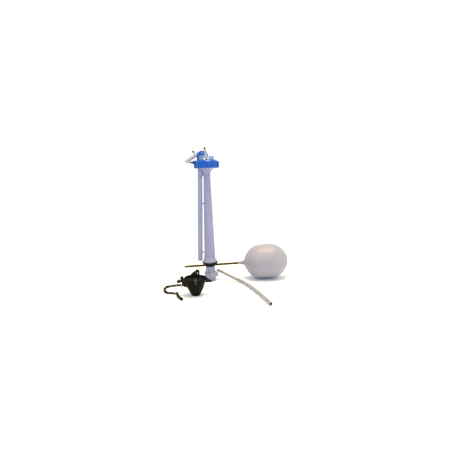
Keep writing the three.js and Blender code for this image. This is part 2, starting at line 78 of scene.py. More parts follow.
PIVOT_FRAME = VALVE @ Matrix.Translation(PIVOT)
HINGE_FRAME = VALVE @ Matrix.Translation(HINGE)
ARM_FRAME = HINGE_FRAME @ Matrix.Rotation(-ARM_SLOPE, 4, "Y")
SCREW_ON_LEVER = Matrix.Translation(PIVOT_TO_SCREW) @ Matrix.Rotation(-SCREW_LEAN, 4, "Y")
TO_ROD = Vector((1, 0, 0)).rotation_difference(ROD_DIRECTION).to_matrix().to_4x4()
FLOAT_FRAME = VALVE @ Matrix.Translation(BALL) @ TO_ROD
FLAPPER_FRAME = VALVE @ Matrix.Translation(FLAPPER)
DISCHARGE_FRAME = Matrix.Translation(DISCHARGE_TOP) @ Matrix.Rotation(DISCHARGE_LEAN, 4, "Y")
ALONG_X = Matrix.Rotation(math.pi / 2, 4, "Y")  # turns a shape made about Z to lie along +X
ALONG_Y = Matrix.Rotation(-math.pi / 2, 4, "X")  # and along +Y
ON_ARM = Matrix.Translation((0, 0, 1.2)) @ ALONG_X  # the float arm's barrel
NIPPLE_FRAME = Matrix.Translation((14.1, 0, 350.3)) @ ALONG_Y


# ---------------------------------------------------------------- camera
def make_camera():
    """In front, at three quarters of the valve's height, pitched down a little and slightly rolled."""
    place = Vector((46.35, -1150, 284.61))  # from the valve's foot, in millimetres
    pitch = math.radians(6.2)
    roll = math.radians(1.9)
    forward = Vector((0, math.cos(pitch), -math.sin(pitch)))
    right = Vector((1, 0, 0))
    up = right.cross(forward)
    camera_x = right * math.cos(roll) - up * math.sin(roll)
    camera_y = right * math.sin(roll) + up * math.cos(roll)
    data = bpy.data.cameras.new("camera")
    data.sensor_width = 36
    data.lens = 32.48
    camera = bpy.data.objects.new("camera", data)
    bpy.context.scene.collection.objects.link(camera)
    turn = Matrix((camera_x, camera_y, -forward)).transposed().to_4x4()
    camera.matrix_world = Matrix.Translation(VALVE @ place) @ turn
    bpy.context.scene.camera = camera


# ---------------------------------------------------------------- shapes, in millimetres
def mesh_of(points, faces):
    """A mesh with its doubled points merged and its faces turned outward."""
    mesh = bpy.data.meshes.new("shape")
    mesh.from_pydata([tuple(point) for point in points], [], faces)
    work = bmesh.new()
    work.from_mesh(mesh)
    bmesh.ops.remove_doubles(work, verts=work.verts, dist=1e-5)
    bmesh.ops.recalc_face_normals(work, faces=work.faces)
    work.to_mesh(mesh)
    work.free()
    return mesh


def moved(mesh, matrix):
    mesh.transform(matrix)
    return mesh


def swung(mesh, degrees):
    """Turned about the upright axis."""
    return moved(mesh, Matrix.Rotation(math.radians(degrees), 4, "Z"))


def ripple(angle, count):
    """Runs from 1 down to 0 and back, count times round a circle."""
    return 0.5 + 0.5 * math.cos(count * angle)


def rounded(outline, radius, closed=True, steps=4):
    """The outline with each corner rounded off; a point's third number is its own radius."""
    result = []
    for i, corner in enumerate(outline):
        here = Vector(corner[:2])
        if not closed and i in (0, len(outline) - 1):
            result.append(tuple(here))
            continue
        before = Vector(outline[i - 1][:2]) - here
        after = Vector(outline[(i + 1) % len(outline)][:2]) - here
        own = corner[2] if len(corner) > 2 else radius
        reach = min(own, 0.45 * before.length, 0.45 * after.length)
        nearly_straight = math.radians(176)
        if reach < 1e-4 or before.angle(after) > nearly_straight:
            result.append(tuple(here))
            continue
        start = here + before.normalized() * reach
        end = here + after.normalized() * reach
        for k in range(steps + 1):
            t = k / steps
            result.append(tuple(start * (1 - t) ** 2 + here * 2 * t * (1 - t) + end * t * t))
    return result


def turned(profile, sides, closed, wave=None):
    """Turns (radius, height) points about Z. wave(angle, radius, height) may vary the radius."""
    points, rings = [], []
    for radius, height in profile:
        if radius < 1e-6:
            rings.append([len(points)])
            points.append((0, 0, height))
            continue
        rings.append(list(range(len(points), len(points) + sides)))
        for i in range(sides):
            angle = 2 * math.pi * i / sides
            out = wave(angle, radius, height) if wave else radius
            points.append((out * math.cos(angle), out * math.sin(angle), height))
    faces = []
    pairs = list(zip(rings, rings[1:]))
    if closed:
        pairs.append((rings[-1], rings[0]))
    for lower, upper in pairs:
        for i in range(sides):
            j = (i + 1) % sides
            corners = [
                lower[i % len(lower)], lower[j % len(lower)],
                upper[j % len(upper)], upper[i % len(upper)],
            ]
            corners = list(dict.fromkeys(corners))
            if len(corners) > 2:
                faces.append(corners)
    return mesh_of(points, faces)


def ring(profile, soft, sides, wave=None):
    """A turned shape with a hole through it."""
    return turned(rounded(profile, soft), sides, True, wave)


def spindle(profile, soft, sides):
    """A turned shape that meets its axis at both ends."""
    return turned(rounded(profile, soft, closed=False), sides, False)


def drum(radius, start, end, soft, sides=48):
    """A round bar along Z."""
    return spindle([(0, start), (radius, start), (radius, end), (0, end)], soft, sides)


def slab(outline, low, high, edge):
    """An outline in the XZ plane given thickness along Y, with softened rims."""
    work = bmesh.new()
    corners = [work.verts.new((x, low, z)) for x, z in outline]
    face = work.faces.new(corners)
    made = bmesh.ops.extrude_face_region(work, geom=[face])
    top = [item for item in made["geom"] if isinstance(item, bmesh.types.BMVert)]
    bmesh.ops.translate(work, verts=top, vec=(0, high - low, 0))
    bmesh.ops.recalc_face_normals(work, faces=work.faces)
    rims = [e for e in work.edges if abs(e.verts[0].co.y - e.verts[1].co.y) < 1e-6]
    if edge:
        bmesh.ops.bevel(work, geom=rims, offset=edge, segments=3, profile=0.5, affect="EDGES",
                        clamp_overlap=True)
    mesh = bpy.data.meshes.new("shape")
    work.to_mesh(mesh)
    work.free()
    return mesh


def block(x, y, z, soft):
    """A box with softened edges, from (low, high) pairs."""
    corners = [(x[0], z[0]), (x[1], z[0]), (x[1], z[1]), (x[0], z[1])]
    return slab(rounded(corners, soft), y[0], y[1], soft * 0.8)


def combined(base, others, operation):
    """The base joined with, or cut by, each of the others in turn."""
    collection = bpy.context.scene.collection
    for other in others:
        host = bpy.data.objects.new("host", base)
        tool = bpy.data.objects.new("tool", other)
        collection.objects.link(host)
        collection.objects.link(tool)
        modifier = host.modifiers.new("boolean", "BOOLEAN")
        modifier.operation = operation
        modifier.object = tool
        modifier.solver = "MANIFOLD"
        graph = bpy.context.evaluated_depsgraph_get()
        base = bpy.data.meshes.new_from_object(host.evaluated_get(graph))
        bpy.data.objects.remove(host)
        bpy.data.objects.remove(tool)
    return base


def joined(base, *others):
    return combined(base, others, "UNION")


def cut(base, *tools):
    return combined(base, tools, "DIFFERENCE")


def together(*meshes):
    """Separate shells in one mesh."""
    work = bmesh.new()
    for mesh in meshes:
        work.from_mesh(mesh)
    result = bpy.data.meshes.new("shape")
    work.to_mesh(result)
    work.free()
    return result


def between(low, high, start, end, at):
    """The value at `at` on a straight line that is low at start and high at end."""
    return low * ((end - at) / (end - start)) + high * ((at - start) / (end - start))


def smooth_path(points, steps):
    """A centripetal Catmull-Rom curve through the points."""
    points = [Vector(p) for p in points]
    padded = [2 * points[0] - points[1], *points, 2 * points[-1] - points[-2]]
    path = []
    for i in range(1, len(padded) - 2):
        p = padded[i - 1:i + 3]
        t = [0.0]
        for a, b in zip(p, p[1:]):
            t.append(t[-1] + math.sqrt((b - a).length))
        for k in range(steps):
            u = t[1] + (t[2] - t[1]) * k / steps
            a = [between(p[j], p[j + 1], t[j], t[j + 1], u) for j in range(3)]
            b = [between(a[j], a[j + 1], t[j], t[j + 2], u) for j in range(2)]
            path.append(between(b[0], b[1], t[1], t[2], u))
    path.append(points[-1])
    return path


def swept(path, sections, closed=False):
    """Sweeps one or more circles of the given radii along a path; two radii make a hollow tube."""
    sides = 20
    tangents = []
    count = len(path)
    for i in range(count):
        before = path[i - 1] if closed or i else path[0]
        after = path[(i + 1) % count] if closed or i < count - 1 else path[-1]
        tangents.append((after - before).normalized())
    side = tangents[0].orthogonal().normalized()
    frames = []
    for tangent in tangents:
        side = (side - tangent * side.dot(tangent)).normalized()
        frames.append((side.copy(), tangent.cross(side)))
    points, faces = [], []
    for radius in sections:
        for place, (u, v) in zip(path, frames):
            for k in range(sides):
                angle = 2 * math.pi * k / sides
                points.append(place + (u * math.cos(angle) + v * math.sin(angle)) * radius)
    layer = count * sides
    for index in range(len(sections)):
        for i in range(count if closed else count - 1):
            for k in range(sides):
                a = index * layer + i * sides
                b = index * layer + (i + 1) % count * sides
                j = (k + 1) % sides
                faces.append([a + k, a + j, b + j, b + k])
    if not closed and len(sections) == 2:
        for end in (0, (count - 1) * sides):
            for k in range(sides):
                j = (k + 1) % sides
                faces.append([end + k, end + j, layer + end + j, layer + end + k])
    elif not closed:
        faces.append(list(range(sides)))
        faces.append(list(range(layer - sides, layer)))
    return mesh_of(points, faces)


def thread_wave(pitch, depth, start, end):
    """A screw thread cut into the stretch from start to end."""
    def wave(angle, radius, height):
        if not start <= height <= end:
            return radius
        turn = (height / pitch - angle / (2 * math.pi)) % 1
        fade = min(1, (height - start) / pitch, (end - height) / pitch)
        return radius - depth * fade * (1 - abs(2 * turn - 1)) ** 0.8
    return wave


def stretch(radius, start, end, pitch):
    """Profile points close enough together to carry a thread."""
    rows_a_turn = 8
    rows = round((end - start) / pitch * rows_a_turn)
    return [(radius, start + (end - start) * k / rows) for k in range(rows + 1)]


# ---------------------------------------------------------------- materials
def node_material(name):
    material = bpy.data.materials.new(name)
    material.use_nodes = True
    nodes = material.node_tree.nodes
    return material, nodes, material.node_tree.links, nodes["Principled BSDF"]


def noise(nodes, links, scale, detail, stretch_by=(1, 1, 1), roughness=0.55):
    """A noise pattern in the object's own coordinates, scale in features per metre."""
    place = nodes.new("ShaderNodeTexCoord")
    mapping = nodes.new("ShaderNodeMapping")
    mapping.inputs["Scale"].default_value = stretch_by
    pattern = nodes.new("ShaderNodeTexNoise")
    pattern.inputs["Scale"].default_value = scale
    pattern.inputs["Detail"].default_value = detail
    pattern.inputs["Roughness"].default_value = roughness
    links.new(place.outputs["Object"], mapping.inputs["Vector"])
    links.new(mapping.outputs["Vector"], pattern.inputs["Vector"])
    return pattern.outputs["Fac"]


def ramp(nodes, links, value, stops):
    """Colours along a value; stops are (position, colour)."""
    colours = nodes.new("ShaderNodeValToRGB")
    elements = colours.color_ramp.elements
    while len(elements) < len(stops):
        elements.new(0.5)
    for element, (position, colour) in zip(elements, stops):
        element.position = position
        element.color = (*colour, 1)
    links.new(value, colours.inputs["Fac"])
    return colours.outputs["Color"]


def spread(nodes, links, value, low, high):
    """A number that runs from low to high over the range where most of a noise pattern lies."""
    remap = nodes.new("ShaderNodeMapRange")
    remap.inputs["From Min"].default_value = 0.3
    remap.inputs["From Max"].default_value = 0.7
    remap.inputs["To Min"].default_value = low
    remap.inputs["To Max"].default_value = high
    links.new(value, remap.inputs["Value"])
    return remap.outputs["Result"]


def bumped(nodes, links, shader, layers):
    """Bump from (pattern, distance in metres) layers, one over the other."""
    normal = None
    for value, distance in layers:
        bump = nodes.new("ShaderNodeBump")
        bump.inputs["Strength"].default_value = 1
        bump.inputs["Distance"].default_value = distance
        links.new(value, bump.inputs["Height"])
        if normal:
            links.new(normal, bump.inputs["Normal"])
        normal = bump.outputs["Normal"]
    links.new(normal, shader.inputs["Normal"])


def shade(colour, by):
    return tuple(max(0, min(1, c * by)) for c in colour)


def plastic(name, colour, gloss, glow, contrast, tint=(1, 1, 1), shine=0.35):
    """Moulded plastic: slight clouding from the melt, handling scuffs and a fine tool grain.

    gloss is the roughness, glow the light let through, and tint colours the darker clouds.
    """
    material, nodes, links, shader = node_material(name)
    cloud = noise(nodes, links, 45, 3)
    streak = noise(nodes, links, 160, 5, (1, 1, 0.16))
    mixed = nodes.new("ShaderNodeMath")
    mixed.operation = "MULTIPLY_ADD"
    links.new(streak, mixed.inputs[0])
    mixed.inputs[1].default_value = 0.45
    links.new(cloud, mixed.inputs[2])
    dark = tuple(c * (1 - contrast) * t for c, t in zip(colour, tint))
    light = shade(colour, 1 + contrast)
    stops = [(0.5, dark), (0.72, colour), (0.95, light)]
    links.new(ramp(nodes, links, mixed.outputs[0], stops), shader.inputs["Base Color"])
    links.new(spread(nodes, links, noise(nodes, links, 240, 6), gloss * 0.82, gloss * 1.3),
              shader.inputs["Roughness"])
    bumped(nodes, links, shader, [(noise(nodes, links, 1400, 2), 0.000012),
                                  (noise(nodes, links, 120, 2), 0.00008)])
    shader.inputs["Specular IOR Level"].default_value = shine
    if glow:
        shader.inputs["Subsurface Weight"].default_value = glow
        shader.inputs["Subsurface Radius"].default_value = (1.0, 0.85, 0.8)
        shader.inputs["Subsurface Scale"].default_value = 0.003
    return material


def rubber(name, colour, gloss, shine=0.1, reflected=(1, 1, 1)):
    """Moulded black rubber with a bloom of dust and a fine pebbled skin; reflected tints its shine."""
    material, nodes, links, shader = node_material(name)
    bloom = noise(nodes, links, 90, 6, roughness=0.7)
    stops = [(0.35, colour), (0.6, shade(colour, 1.5)), (0.8, shade(colour, 2.6))]
    links.new(ramp(nodes, links, bloom, stops), shader.inputs["Base Color"])
    links.new(spread(nodes, links, noise(nodes, links, 300, 5), gloss * 0.75, gloss * 1.35),
              shader.inputs["Roughness"])
    bumped(nodes, links, shader, [(noise(nodes, links, 1100, 3), 0.00003),
                                  (noise(nodes, links, 150, 2), 0.00012)])
    shader.inputs["Specular IOR Level"].default_value = shine
    shader.inputs["Specular Tint"].default_value = (*reflected, 1)
    return material


def metal(name, dull, bright, gloss, stretch_by):
    """Drawn metal with lines along its length and tarnish that gathers in patches."""
    material, nodes, links, shader = node_material(name)
    shader.inputs["Metallic"].default_value = 1
    tarnish = noise(nodes, links, 130, 6, roughness=0.65)
    middle = tuple((a + b) / 2 for a, b in zip(dull, bright))
    links.new(ramp(nodes, links, tarnish, [(0.34, dull), (0.5, middle), (0.66, bright)]),
              shader.inputs["Base Color"])
    lines = noise(nodes, links, 1500, 3, stretch_by)
    links.new(spread(nodes, links, tarnish, gloss * 1.4, gloss * 0.8), shader.inputs["Roughness"])
    bumped(nodes, links, shader, [(lines, 0.00002)])
    return material


def vinyl_tube(name):
    """Soft translucent hose, greyed, with a faint fine bump and a little haze."""
    material, nodes, links, shader = node_material(name)
    cloud = noise(nodes, links, 60, 4)
    stops = [(0.3, (0.21, 0.215, 0.255)), (0.5, (0.25, 0.258, 0.305)), (0.72, (0.30, 0.31, 0.36))]
    links.new(ramp(nodes, links, cloud, stops), shader.inputs["Base Color"])
    links.new(spread(nodes, links, noise(nodes, links, 200, 5), 0.24, 0.42), shader.inputs["Roughness"])
    bumped(nodes, links, shader, [(noise(nodes, links, 500, 3), 0.00004)])
    shader.inputs["Subsurface Weight"].default_value = 0.35
    shader.inputs["Subsurface Radius"].default_value = (1.0, 0.9, 0.8)
    shader.inputs["Subsurface Scale"].default_value = 0.003
    shader.inputs["IOR"].default_value = 1.52
    return material


BODY = plastic("body_plastic", (0.235, 0.263, 0.425), gloss=0.36, glow=0.1, contrast=0.07,
               tint=(1.02, 0.97, 0.95))
NUT = plastic("nut_plastic", (0.24, 0.265, 0.38), gloss=0.4, glow=0.1, contrast=0.09, tint=(1, 0.97, 0.95))
BLUE = plastic("blue_plastic", (0.0020, 0.074, 0.40), gloss=0.26, glow=0, contrast=0.1,
               tint=(0.8, 0.8, 0.86), shine=0.24)
# A darker, duller copy of the blue, painted on the stop tab's end as shade.
BLUE_PAINTED_SHADE = plastic("blue_plastic_painted_shade", (0.0020, 0.014, 0.052), gloss=0.6, glow=0, contrast=0.2,
               tint=(0.8, 0.8, 0.86), shine=0.03)
# The white plastic's base is tinted lavender-blue; part of that blue is painted reflection of light bounced
# off the blue cap.
WHITE = plastic("white_plastic", (0.26, 0.34, 0.56), gloss=0.34, glow=0.12, contrast=0.06)
ARM = plastic("arm_plastic", (0.335, 0.34, 0.42), gloss=0.42, glow=0.1, contrast=0.12,
              tint=(0.92, 0.9, 0.88))
IVORY = plastic("ball_plastic", (0.29, 0.298, 0.375), gloss=0.42, glow=0.2, contrast=0.02,
                tint=(0.99, 0.98, 0.97))
VINYL = vinyl_tube("vinyl")
RUBBER = rubber("black_rubber", (0.0010, 0.0013, 0.0011), gloss=0.5, shine=0.09, reflected=(0.92, 0.97, 1))
POLISHED_RUBBER = rubber("black_rubber_polished", (0.0030, 0.0034, 0.0052), gloss=0.32, shine=0.52,
                         reflected=(0.72, 0.84, 1))
BLACK = rubber("black_plastic", (0.0010, 0.0011, 0.0012), gloss=0.36)
BRASS = metal("brass", dull=(0.022, 0.0165, 0.0016), bright=(0.088, 0.068, 0.009), gloss=0.34,
              stretch_by=(0.04, 1, 1))
SCREW_BRASS = metal("screw_brass", dull=(0.06, 0.04, 0.011), bright=(0.23, 0.17, 0.055), gloss=0.34,
                    stretch_by=(1, 1, 0.2))
STEEL = metal("steel", dull=(0.33, 0.34, 0.36), bright=(0.66, 0.67, 0.70), gloss=0.22,
              stretch_by=(1, 0.2, 1))
BLUED_STEEL = metal("blued_steel", dull=(0.10, 0.20, 0.33), bright=(0.24, 0.40, 0.55), gloss=0.3,
                    stretch_by=(1, 0.2, 1))
BODY_OF = {node: body for body, nodes in frame["record"]["behaviour"]["bodies"].items() for node in nodes}


def piece(node, mesh, material, place=VALVE, sharp=32, accent=None):
    """Sets a finished shape down in the frame, in place of the CAD node of that name.

    accent is a second finish with a test that says which face centres take it.
    """
    mesh.materials.clear()
    mesh.materials.append(material)
    mesh.polygons.foreach_set("material_index", [0] * len(mesh.polygons))
    if accent:
        finish, chosen = accent
        mesh.materials.append(finish)
        mesh.polygons.foreach_set("material_index", [int(chosen(face.center)) for face in mesh.polygons])
    mesh.transform(place)
    mesh.polygons.foreach_set("use_smooth", [True] * len(mesh.polygons))
    mesh.set_sharp_from_angle(angle=math.radians(sharp))
    thing = bpy.data.objects.new(node + "_skin", mesh)
    bpy.context.scene.collection.objects.link(thing)
    weighted = thing.modifiers.new("normals", "WEIGHTED_NORMAL")
    weighted.keep_sharp = True
    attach(thing, BODY_OF[node])
    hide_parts(node)
    return thing


def paint(node, material):
    """A hidden CAD node keeps its shape and takes a material."""
    thing = frame["nodes"][node]
    thing.data.materials.clear()
    thing.data.materials.append(material)


# ---------------------------------------------------------------- refill tube
REFILL_ROUTE = [
    (20, 10.5, 27.8), (30.5, 3.8, 24.6), (41.5, -3.6, 20.4), (52.2, -10.4, 15.9), (62.8, -17, 11.5),
    (73, -24, 7.7), (82.5, -33.4, 5.3), (90.9, -48, 4.7), (98.4, -67.6, 4.6), (105.3, -89.5, 4.6),
    (111.4, -111.4, 4.6), (116.7, -131, 4.6), (121.5, -150.4, 4.6), (126.2, -169.4, 4.6),
    (130.6, -188.4, 4.6), (134.8, -207, 4.6), (138.8, -226, 4.6), (144.6, -255.4, 4.6),
]
TUBE_RADIUS = 4.25
TUBE_BORE = 3.05


def refill_tube():
    path = smooth_path(REFILL_ROUTE, 6)
    tube = piece("refill_tube", swept(path, [TUBE_RADIUS, TUBE_BORE]), VINYL)


# ---------------------------------------------------------------- body, nuts and washers
def seam(ridge, width):
    """A mould's two parting lines: a low ridge along the shape at +X and at -X."""
    def wave(angle, radius, height):
        nearest = min(abs((angle - a + math.pi) % (2 * math.pi) - math.pi) for a in (0, math.pi))
        return radius + ridge * math.exp(-(nearest * radius / width) ** 2)
    return wave


def on_discharge(mesh):
    return moved(mesh, DISCHARGE_FRAME)


def standpipe():
    """The body: shank, foot flange, tapered riser and round head, with the discharge tube's socket."""
    profile = [
        (10.9, 6.2), (11.9, 7.2), (11.9, 48.6), (14.6, 49.4, 1), (20, 55.4, 1.5), (20, 58.6, 1.5),
        (18, 62, 2), (16.6, 66, 2), (*RISER_FOOT, 3), (*RISER_TOP, 6), (9.4, 304, 4), (10.4, 309, 4),
        (12.6, 313.5, 4), (16, 317.5, 3), (20, 320, 2), (27.5, 321.6, 0.6), (27.5, 334), (25.3, 334),
        (25.3, 324, 1), (6.9, 324), (6.9, 299, 4), (13.4, 71, 4), (7.6, 56, 3), (7.6, 6.2),
    ]
    body = ring(profile, 0.4, 128, seam(0.16, 0.5))
    socket = on_discharge(drum(6.6, -18.6, 4.6, 0.5, 64))
    web = block((-16, -6.5), (-3, 3), (299.4, 318), 1.2)
    bead = ring([(15.2, 73.4), (16.3, 73.9), (16.3, 75.1), (15.1, 75.6)], 0.5, 96)
    tube_hole = on_discharge(drum(4.9, -20, -1, 0, 48))
    outlet = on_discharge(drum(3.2, -2, 8, 0, 48))
    piece("standpipe", cut(joined(body, socket, web, bead), tube_hole, outlet), BODY)


def discharge_tube():
    """The slim leaning tube, a little wider at its foot, and the two webs that tie it to the riser."""
    length = (DISCHARGE_TOP.z - DISCHARGE_FOOT) / math.cos(DISCHARGE_LEAN)
    tube = on_discharge(ring([
        (7.3, -length), (7.3, -length + 3, 0.6), (7, -length + 3.6, 0.6), (6.3, -18.9), (4.6, -18.9),
        (4.6, -1.6), (3.2, -1.6), (3.2, -18.9, 2), (5.9, -length),
    ], 0.35, 72, seam(0.12, 0.4)))
    foot_radius, foot_height = RISER_FOOT
    top_radius, top_height = RISER_TOP
    taper = (top_radius - foot_radius) / (top_height - foot_height)
    half_web = 1.8
    sunk = 0.9  # how far a web runs into the tube's wall
    webs = []
    for z in (83.8, 223):
        drop = DISCHARGE_TOP.z - z
        tube_axis = DISCHARGE_TOP.x - drop * math.tan(DISCHARGE_LEAN)
        tube_radius = 6.3 + drop / length
        riser_radius = foot_radius + taper * (z - half_web - foot_height)
        span = (tube_axis + tube_radius - sunk, -riser_radius - GAP)
        webs.append(block(span, (-1.5, 1.5), (z - half_web, z + half_web), 0.6))
    piece("discharge_tube", joined(tube, *webs), BODY)


def shank_washer():
    """A dished washer with two fine sealing ribs; its soft rim stands a little higher at the sides."""
    washer = ring([
        (12.2, 42.8), (13.8, 42.8), (15.4, 43.8), (17.4, 46.1), (17.9, 46.1), (18.2, 47), (19.8, 48.8),
        (20.3, 48.8), (20.6, 49.7), (21.2, 50.4), (22.6, 52.4, 0.8), (22.6, 53.9, 0.6), (21.2, 54.6, 0.5),
        (20.4, 54.2), (15, 48.7), (12.2, 48),
    ], 0.4, 128)
    held_radius = 15
    rim_radius = 22.6
    rise = 2
    for vertex in washer.vertices:
        x, y, z = vertex.co
        reach = max(0, (math.hypot(x, y) - held_radius) / (rim_radius - held_radius))
        vertex.co.z = z + rise * reach * math.cos(2 * math.atan2(y, x))
    piece("shank_washer", washer, RUBBER)


def lock_nut():
    """Three-winged nut with shallow flutes round its skirt and a sloping neck above a flat shoulder."""
    def flutes(angle, radius, height):
        if radius < 17 or not 13 < height < 25.6:
            return radius
        return radius - 0.35 * ripple(angle, 36) ** 3
    skirt = [(17.6, z) for z in (12.9, 13.4, 18, 24, 25.2, 25.8)]
    lower = rounded([(12.2, 42), (12.2, 11.3), (17.0, 11.3), (17.6, 12.2)], 0.5, False)
    upper = rounded([
        (17.6, 26), (16.9, 26.6), (14.9, 26.6), (13.4, 34, 2), (13.4, 42.4), (12.7, 42.4),
    ], 0.6, False)
    nut = turned([*lower, *skirt, *upper], 216, True, flutes)
    wings = [swung(block((16.1, 22.5), (-3.5, 3.5), (11.5, 22.5), 1.3), 15 + 120 * k) for k in range(3)]
    piece("lock_nut", joined(nut, *wings), NUT)


def coupling_nut():
    """A ribbed cup with a hole for the supply pipe."""
    nut = ring([
        (6.5, 0), (13.6, 0), (14.4, 0.8), (14.4, 11), (12.2, 11), (12.2, 2.4), (6.5, 2.4),
    ], 0.5, 128)
    ribs = [swung(block((13.8, 15.3), (-1.2, 1.2), (1.4, 10.4), 0.5), 30 * k) for k in range(12)]
    piece("coupling_nut", joined(nut, *ribs), NUT)


# ---------------------------------------------------------------- head, cap and bonnet
def bonnet():
    """The cover inside the ring, with a dished boss that takes the refill nipple, and four low ribs."""
    cover = ring([
        (6.4, 336.2), (27, 336.2), (27, 339.2, 0.8), (21.2, 340.4, 0.6), (20.8, 345.2, 1), (2.9, 345.2),
        (2.9, 341), (6.4, 341),
    ], 0.3, 128)
    boss = block((7.2, 21), (-6.5, 6.5), (344.6, 354.9), 1.1)
    dish = block((9.2, 19), (-4.6, 4.6), (354, 360), 0.6)
    socket = moved(drum(3.2, 1, 8, 0, 40), NIPPLE_FRAME)
    ribs = [swung(block((6.4, 20.4), (-0.6, 0.6), (344.8, 345.9), 0.3), a) for a in (75, 120, -75, -120)]
    piece("bonnet", cut(joined(cover, boss, *ribs), dish, socket), WHITE)


def refill_nipple():
    """A barbed spout, pushed into the boss up to its collar."""
    nipple = ring([
        (1.5, 1.3), (2.9, 1.3), (2.9, 7), (4.2, 7), (4.2, 8.4), (2.9, 8.4), (2.9, 11.4), (3.3, 11.6),
        (2.8, 13), (3.6, 14.5), (2.7, 19), (1.5, 19),
    ], 0.25, 48)
    piece("refill_nipple", moved(nipple, NIPPLE_FRAME), WHITE)


def cheek(side):
    """One of the cap's two uprights that carry the lever, and the low boss round the pin on its outside."""
    outline = rounded([
        (-25.9, 341.6), (-25.9, 355.5, 2.5), (-16.4, 370, 4), (-5.6, 370, 1.6), (-4.5, 368.6, 1.6),
        (-4.5, 360, 1.2), (-5.7, 358.8, 1.2), (-15.5, 358.8, 2), (-20.8, 353.6, 2), (-20.8, 341.6),
    ], 0.3, steps=6)
    low, high = sorted((side * 5.6, side * CHEEK_FACE))
    on_face = Matrix.Translation((PIVOT.x, side * CHEEK_FACE, PIVOT.z)) @ ALONG_Y
    return slab(outline, low, high, 0.6), moved(drum(3.1, -0.9, 0.4, 0.3), on_face)


def cap_ring():
    """The screw cap: a stepped band with grip lugs, a stop tab for the arm, and the lever's two cheeks."""
    band = ring([
        (28, 321.4), (31.2, 321.4, 0.6), (31.8, 322.4, 0.6), (31.8, 338.6, 1.6), (29, 342.4, 1.6),
        (25, 344.8, 1.2), (21.7, 344.8), (21.7, 341.2), (27.3, 339.8), (28, 339.6),
    ], 0.4, 160)
    lugs = [swung(block((29.6, 35), (-7, 7), (322.4, 340.2), 1.5), a) for a in (0, 180)]
    tab = block((-47, -30.5), (-4.5, 4.5), (336.8, 340.4), 0.9)
    heel = slab(rounded([
        (-40, 339.6), (-37, 342.4), (-30.5, 344.2), (-29, 344.2), (-29, 339.6),
    ], 0.8), -3.4, 3.4, 0.5)
    stay = slab(rounded([(-42, 337.2), (-31, 337.2), (-31, 331)], 0.8), -1.1, 1.1, 0.4)
    left, left_boss = cheek(-1)
    right, right_boss = cheek(1)
    hole = moved(drum(PIVOT_PIN_RADIUS + GAP, -12, 12, 0, 32), Matrix.Translation(PIVOT) @ ALONG_Y)
    cap = joined(band, *lugs, tab, heel, stay, left, left_boss, right, right_boss)
    beyond_lug = -35.2  # past here only the tab is left; its end takes a darker, duller copy of the blue, painted shade
    piece("cap_ring", cut(cap, hole), BLUE, accent=(BLUE_PAINTED_SHADE, lambda place: place.x < beyond_lug))


def headed_pin(node, radius, reach, tail, material, place):
    """A round-headed pin along Y through what is 2 * reach wide, with a bevelled tail beyond it."""
    head = -reach - GAP
    end = reach + tail
    profile = [
        (0, -reach - 2.1), (radius * 0.9, -reach - 2), (radius + 1.2, -reach - 1.2),
        (radius + 1.3, -reach - 0.5), (radius + 1.2, head), (radius, head),
        (radius, end), (radius - 0.4, end + 0.5), (0, end + 0.5),
    ]
    piece(node, moved(spindle(profile, 0.25, 40), ALONG_Y), material, place)


def push_clip(node, radius, reach, thickness, place):
    """A push-on clip on a pin's tail, its hole toothed."""
    def teeth(angle, out, height):
        return out + (0.5 * ripple(angle, 6) ** 3 if out < radius + 0.9 else 0)
    inner, outer = radius + GAP, radius + 1.7
    near, far = reach + GAP, reach + GAP + thickness
    clip = ring([(inner, near), (outer, near + 0.15), (outer, far - 0.1), (inner + 0.4, far), (inner, far)],
                0.12, 72, teeth)
    piece(node, moved(clip, ALONG_Y), STEEL, place)


# ---------------------------------------------------------------- lever, arm, screws and plunger
def lever():
    """Drawn from its pivot: a hub, a limb over the plunger, a limb down to the arm, and the arm's tongue."""
    from_arm = Matrix.Translation(PIVOT_TO_HINGE) @ Matrix.Rotation(-ARM_SLOPE, 4, "Y")

    def limb(outline):
        return slab(rounded(outline, 0.3), -LEVER_HALF, LEVER_HALF, 0.6)
    hub = moved(drum(5.4, -LEVER_HALF, LEVER_HALF, 0.7, 64), ALONG_Y)
    over_plunger = limb([
        (-5.3, 0.5), (-4.7, -11.3, 1.5), (0.3, -12.8, 1.5), (17.4, -6.9, 1.5), (15.6, -1.7, 1.2),
        (5.3, -5.2, 2), (5.3, 0.5),
    ])
    lobe = limb([
        (-12.6, -8, 1.5), (-10.5, -18.2, 1.5), (2.2, -18.2, 1.2), (3.2, -11.4), (-4.6, -8), (-5.2, 0.5),
    ])
    to_arm = limb([
        (12.6, -4.6, 0.8), (12.6, 6.2, 1.2), (20, 6.2, 2), (23.5, 3.6, 2), (29, -3.2, 1), (24, -7.5, 1),
        (20, -4.6, 1.5),
    ])
    tongue = slab(rounded([
        (0, -3.2), (14, -3.2), (14, 1.2), (3, 1.2), (1.6, 2.8, 0.8), (-1.6, 2.8, 0.8), (-3.2, 1.2, 0.8),
        (-3.2, -1.6, 0.8), (-1.6, -3.2, 0.8),
    ], 0.3), -2.6, 2.6, 0.3)
    boss = moved(drum(3.1, -3.4, 6.4, 0.5), SCREW_ON_LEVER)
    pocket = rounded([(14.6, -2.6), (14.6, 4.2), (19.2, 4.2), (21.4, 1)], 0.6)
    pockets = [moved(slab(pocket, *span, 0), from_arm) for span in ((-6, -4.4), (4.4, 6))]
    holes = [
        moved(drum(PIVOT_PIN_RADIUS + GAP, -9, 9, 0, 32), ALONG_Y),
        moved(drum(HINGE_PIN_RADIUS + GAP, -9, 9, 0, 32), Matrix.Translation(PIVOT_TO_HINGE) @ ALONG_Y),
        moved(drum(2, -12, 8, 0, 32), SCREW_ON_LEVER),
    ]
    solid = joined(hub, over_plunger, lobe, moved(to_arm, from_arm), moved(tongue, from_arm), boss)
    shape = cut(solid, *pockets, *holes)
    piece("lever", shape, WHITE, PIVOT_FRAME)


ARM_SCREW = Matrix.Translation((8.2, 0, 0))


